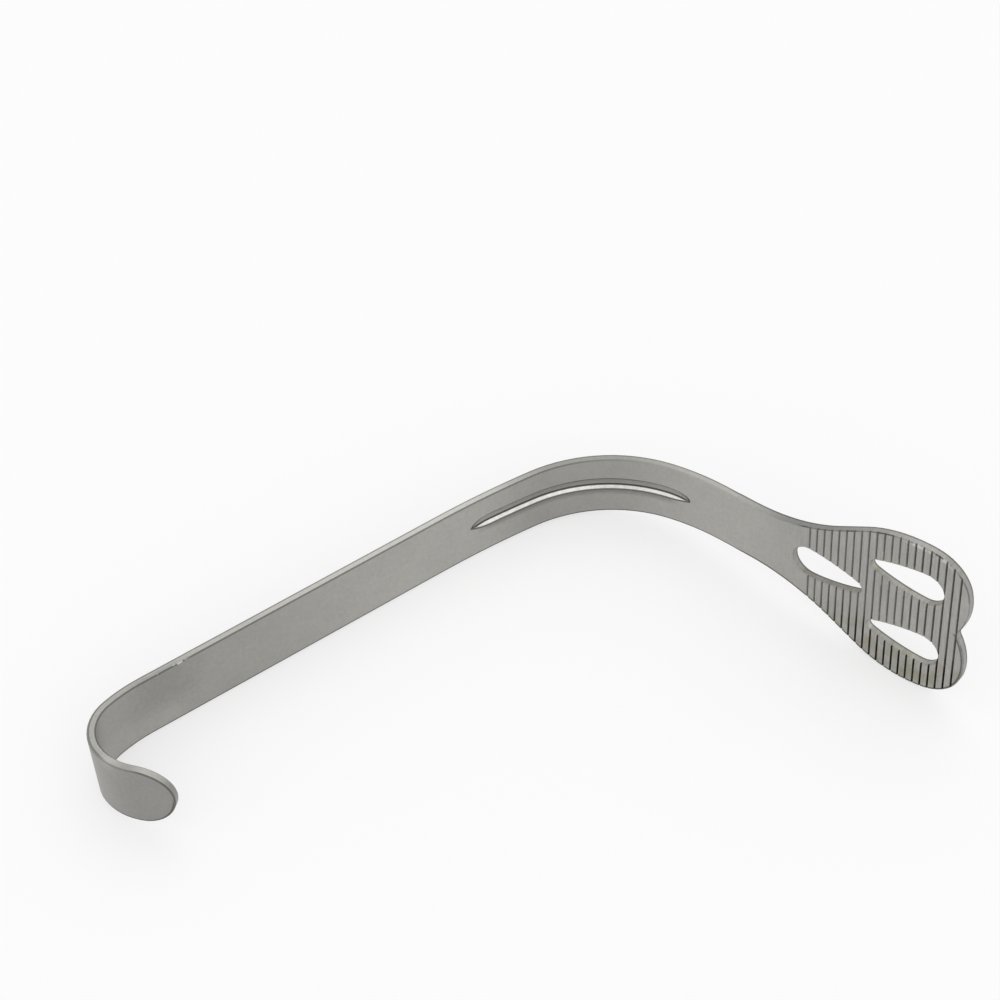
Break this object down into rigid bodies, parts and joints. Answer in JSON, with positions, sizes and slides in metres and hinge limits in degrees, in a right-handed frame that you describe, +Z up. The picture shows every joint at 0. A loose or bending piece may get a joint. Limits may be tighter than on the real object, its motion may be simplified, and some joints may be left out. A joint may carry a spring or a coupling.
{
  "type": "self retaining retractor",
  "caption": "One-piece steel cheek retractor: rounded hook tab, straight strip handle, wide bend with a pressed groove, and a grooved heart-shaped blade with teardrop windows.",
  "frame": {"origin": "centre of the bounding box in plan, at the height of the surface the retractor rests on", "axes": "+X along the straight handle from the hook towards the blade, +Z up, +Y from the blade towards the handle's outer face; the part stands on the handle's lower outer edge and the blade's lower lobe"},
  "size_m": [0.1464, 0.0844, 0.0377],
  "materials": {
    "satin_steel": "satin, fine bead blast"
  },
  "bodies": {
    "root": {"retractor": "satin_steel"}
  },
  "joints": []
}
